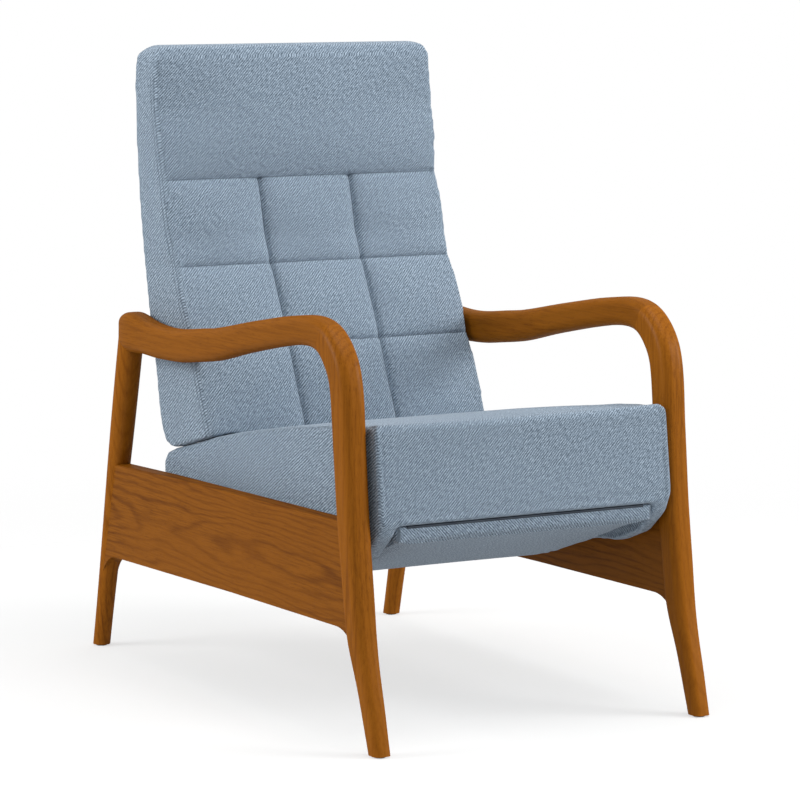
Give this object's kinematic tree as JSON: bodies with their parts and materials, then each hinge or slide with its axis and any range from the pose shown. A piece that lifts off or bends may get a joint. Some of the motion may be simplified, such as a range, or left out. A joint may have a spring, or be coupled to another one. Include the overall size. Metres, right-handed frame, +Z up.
{
  "type": "recliner",
  "caption": "Push-back recliner with bent wooden arms and legs, an upholstered seat, a tufted high back and a footrest that swings out from under the seat.",
  "frame": {"origin": "on the floor, under the centre of the chair's bounding box", "axes": "+Z up, the chair faces -Y, +X to the sitter's left"},
  "size_m": [0.6116, 0.9977, 1.0209],
  "materials": {
    "frame_wood": "satin",
    "inner_wood": "raw",
    "upholstery": "twill weave",
    "webbing": "woven elastic",
    "steel": "zinc plated",
    "spring_steel": "drawn",
    "plastic": "moulded"
  },
  "bodies": {
    "frame": {"arm_left": "frame_wood", "arm_right": "frame_wood", "front_leg_left": "frame_wood", "front_leg_right": "frame_wood", "rear_leg_left": "frame_wood", "rear_leg_right": "frame_wood", "side_rail_left": "frame_wood", "side_rail_right": "frame_wood", "foot_glides": "plastic", "rear_stretcher": "frame_wood", "mid_stretcher": "frame_wood", "seat_track_left": "steel", "seat_track_right": "steel", "track_screws": "steel"},
    "seat": {"glide_shoes": "plastic", "shoe_studs": "steel", "seat_board_left": "inner_wood", "seat_board_right": "inner_wood", "seat_front_rail": "inner_wood", "seat_rear_rail": "inner_wood", "seat_springs": "spring_steel", "seat_cushion": "upholstery", "seat_side_pad_left": "upholstery", "seat_side_pad_right": "upholstery", "seat_rear_panel": "upholstery", "recline_bracket_left": "steel", "recline_bracket_right": "steel", "recline_pins": "steel", "bracket_screws": "steel", "footrest_hinge_fixed_leaf": "steel"},
    "back": {"back_stile_left": "inner_wood", "back_stile_right": "inner_wood", "back_cross_rails": "inner_wood", "back_webbing": "webbing", "back_side_plate_left": "steel", "back_side_plate_right": "steel", "back_plate_screws": "steel", "rod_pins": "steel", "back_tufted_pad": "upholstery", "back_head_panel": "upholstery", "back_boxing_left": "upholstery", "back_boxing_right": "upholstery", "back_rear_cover": "upholstery", "back_bottom_cover": "upholstery"},
    "footrest": {"footrest_board": "inner_wood", "footrest_pad": "upholstery", "footrest_hinge_moving_leaf": "steel", "footrest_hinge_pin": "steel", "footrest_crank_plate_left": "steel", "footrest_crank_plate_right": "steel"},
    "drive_rods": {"drive_rod_left": "steel", "drive_rod_right": "steel"}
  },
  "joints": [
    {"name": "seat_glide", "type": "slide", "parent": "frame", "child": "seat", "axis": [0, -0.9976, 0.0698], "range_m": [0, 0.05]},
    {"name": "back_recline", "type": "hinge", "parent": "seat", "child": "back", "pos_m": [0, 0.25533, 0.40202], "axis": [-1, 0, 0], "range_deg": [0, 28]},
    {"name": "footrest_swing", "type": "hinge", "parent": "seat", "child": "footrest", "pos_m": [0, -0.43407, 0.32848], "axis": [-1, 0, 0], "range_deg": [0, 165]},
    {"name": "drive_rod_turn", "type": "hinge", "parent": "back", "child": "drive_rods", "pos_m": [0, 0.27625, 0.3114], "axis": [-1, 0, 0], "range_deg": [-28.4, 0]}
  ],
  "couplings": [
    {"joint": "seat_glide", "follows": "back_recline", "m_per_rad": 0.1023},
    {"joint": "footrest_swing", "follows": "back_recline", "ratio": 5.8929},
    {"joint": "drive_rod_turn", "follows": "back_recline", "ratio": -1.0129}
  ]
}
